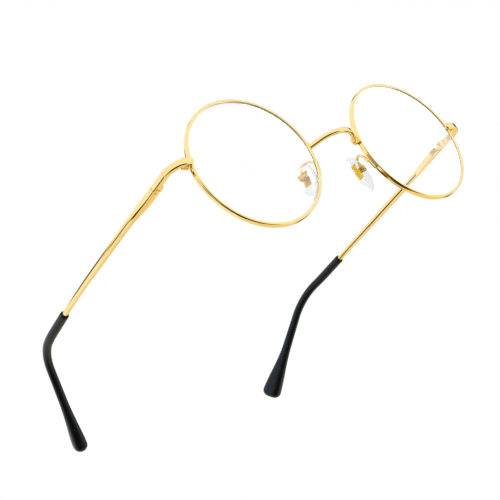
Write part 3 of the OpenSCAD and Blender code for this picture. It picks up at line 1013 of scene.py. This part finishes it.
# Dark zones of the world that reflections and diffuse light see. They were placed by trial for the
# main camera. Each is: middle direction, radius and softness in degrees, how dark, and the least
# and most that the direction's Y may be, which cuts most of them to a narrow band.
GAPS = (
    ((-0.38, -0.68, -0.62), 48, 9, 1.0, -1.0, 0.2),
    ((-0.42, 0.15, -0.89), 27, 10, 0.95, -1.0, 0.6),
    ((-0.69, 0.545, -0.475), 6, 3, 0.45, 0.42, 0.62),
    ((-0.57, 0.71, -0.42), 27, 8, 1.0, 0.655, 0.703),
    ((-0.71, 0.70, 0.08), 12, 3, 1.0, 0.700, 0.716),
    ((-0.22, 0.735, 0.64), 21, 5, 1.0, 0.712, 0.765),
    ((-0.733, 0.635, -0.239), 15, 7, 1.0, 0.575, 0.66),
    ((0.84, 0.39, 0.36), 28, 7, 1.0, -1.0, 1.0),
    ((-0.745, 0.556, 0.37), 7, 3, 1.0, 0.552, 0.562),
)
BAND_EDGE = 0.01  # half width of the soft edge of a zone's Y limits
# A dark zone's own colours, from its middle out to the white around it
DARK_TONES = (
    (0.0, (0.012, 0.005, 0.001)),
    (0.45, (0.20, 0.09, 0.004)),
    (0.8, (0.82, 0.60, 0.14)),
    (1.0, (1.0, 1.0, 1.0)),
)
WARM_SIDE = (0.65, 0.65, -0.37)
WARM_LIGHT = (0.90, 0.75, 0.42, 1)
WHITE = (1, 1, 1, 1)
STUDIO_STRENGTH = 1.05
FLOOR_GAP = 0.0001  # metres below the lowest point


def make_world():
    """Plain white for the camera and through clear parts; warm white with dark zones for the rest."""
    world = bpy.data.worlds.new("studio")
    bpy.context.scene.world = world
    world.use_nodes = True
    tree = world.node_tree
    tree.nodes.clear()
    out = tree.nodes.new("ShaderNodeOutputWorld")
    direction = tree.nodes.new("ShaderNodeTexCoord").outputs["Generated"]

    def math_node(kind, a, b=None, c=None):
        node = tree.nodes.new("ShaderNodeMath")
        node.operation = kind
        for i, value in enumerate((a, b, c)):
            if value is None:
                continue
            if isinstance(value, (int, float)):
                node.inputs[i].default_value = value
            else:
                tree.links.new(value, node.inputs[i])
        return node.outputs[0]

    def along(vector):
        node = tree.nodes.new("ShaderNodeVectorMath")
        node.operation = "DOT_PRODUCT"
        tree.links.new(direction, node.inputs[0])
        node.inputs[1].default_value = Vector(vector).normalized()
        return node.outputs["Value"]

    def step(value, low, high):
        node = tree.nodes.new("ShaderNodeMapRange")
        node.interpolation_type = "SMOOTHSTEP"
        tree.links.new(value, node.inputs["Value"])
        node.inputs["From Min"].default_value = low
        node.inputs["From Max"].default_value = high
        return node.outputs["Result"]

    back = along((0, 1, 0))
    dark = None
    for middle, radius, soft, depth, low, high in GAPS:
        far, near = math.radians(radius + soft), math.radians(radius - soft)
        inside = step(along(middle), math.cos(far), math.cos(near))
        above = step(back, low - BAND_EDGE, low + BAND_EDGE)
        below = step(back, high + BAND_EDGE, high - BAND_EDGE)
        inside = math_node("MULTIPLY", math_node("MULTIPLY", inside, above), below)
        keep = math_node("MULTIPLY_ADD", inside, -depth, 1.0)
        dark = keep if dark is None else math_node("MULTIPLY", dark, keep)

    warm = tree.nodes.new("ShaderNodeMix")
    warm.data_type = "RGBA"
    warm.inputs["A"].default_value = WHITE
    warm.inputs["B"].default_value = WARM_LIGHT
    tree.links.new(step(along(WARM_SIDE), 0.35, 0.95), warm.inputs["Factor"])
    tones = tree.nodes.new("ShaderNodeValToRGB")
    fill_ramp(tones.color_ramp.elements, DARK_TONES)
    tree.links.new(dark, tones.inputs["Fac"])
    shade = tree.nodes.new("ShaderNodeMix")
    shade.data_type = "RGBA"
    shade.blend_type = "MULTIPLY"
    shade.inputs["Factor"].default_value = 1.0
    tree.links.new(warm.outputs["Result"], shade.inputs["A"])
    tree.links.new(tones.outputs["Color"], shade.inputs["B"])

    studio = tree.nodes.new("ShaderNodeBackground")
    studio.inputs["Strength"].default_value = STUDIO_STRENGTH
    tree.links.new(shade.outputs["Result"], studio.inputs["Color"])
    plain = tree.nodes.new("ShaderNodeBackground")
    plain.inputs["Color"].default_value = WHITE
    plain.inputs["Strength"].default_value = 1.0
    pick = tree.nodes.new("ShaderNodeMixShader")
    path = tree.nodes.new("ShaderNodeLightPath")
    direct = math_node("MAXIMUM", path.outputs["Is Camera Ray"], path.outputs["Is Transmission Ray"])
    tree.links.new(direct, pick.inputs["Fac"])
    tree.links.new(studio.outputs["Background"], pick.inputs[1])
    tree.links.new(plain.outputs["Background"], pick.inputs[2])
    tree.links.new(pick.outputs["Shader"], out.inputs["Surface"])


def make_floor():
    """A pale floor, seen from above only, so that it doesn't hide the object from below."""
    material = bpy.data.materials.new("floor_pale")
    material.use_nodes = True
    tree = material.node_tree
    shader = tree.nodes["Principled BSDF"]
    shader.inputs["Base Color"].default_value = (0.90, 0.90, 0.89, 1)
    shader.inputs["Roughness"].default_value = 0.8
    clear = tree.nodes.new("ShaderNodeBsdfTransparent")
    pick = tree.nodes.new("ShaderNodeMixShader")
    tree.links.new(tree.nodes.new("ShaderNodeNewGeometry").outputs["Backfacing"], pick.inputs["Fac"])
    tree.links.new(shader.outputs["BSDF"], pick.inputs[1])
    tree.links.new(clear.outputs["BSDF"], pick.inputs[2])
    tree.links.new(pick.outputs["Shader"], tree.nodes["Material Output"].inputs["Surface"])
    mesh = bpy.data.meshes.new("floor")
    bm = bmesh.new()
    bmesh.ops.create_circle(bm, cap_ends=True, segments=96, radius=3.0)
    bm.to_mesh(mesh)
    bm.free()
    mesh.materials.append(material)
    floor = bpy.data.objects.new("floor", mesh)
    bpy.context.scene.collection.objects.link(floor)
    floor.location.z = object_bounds()[0].z - FLOOR_GAP
    floor.visible_glossy = False
    floor.visible_diffuse = False
    floor.visible_shadow = False


make_camera()
make_world()
make_floor()
soft_light("key", (-0.5, -0.6, 0.9), 0.6, 6)
soft_light("fill", (0.9, 0.3, 0.6), 0.8, 3)

view = bpy.context.scene.view_settings
view.view_transform = "Standard"
view.look = "None"
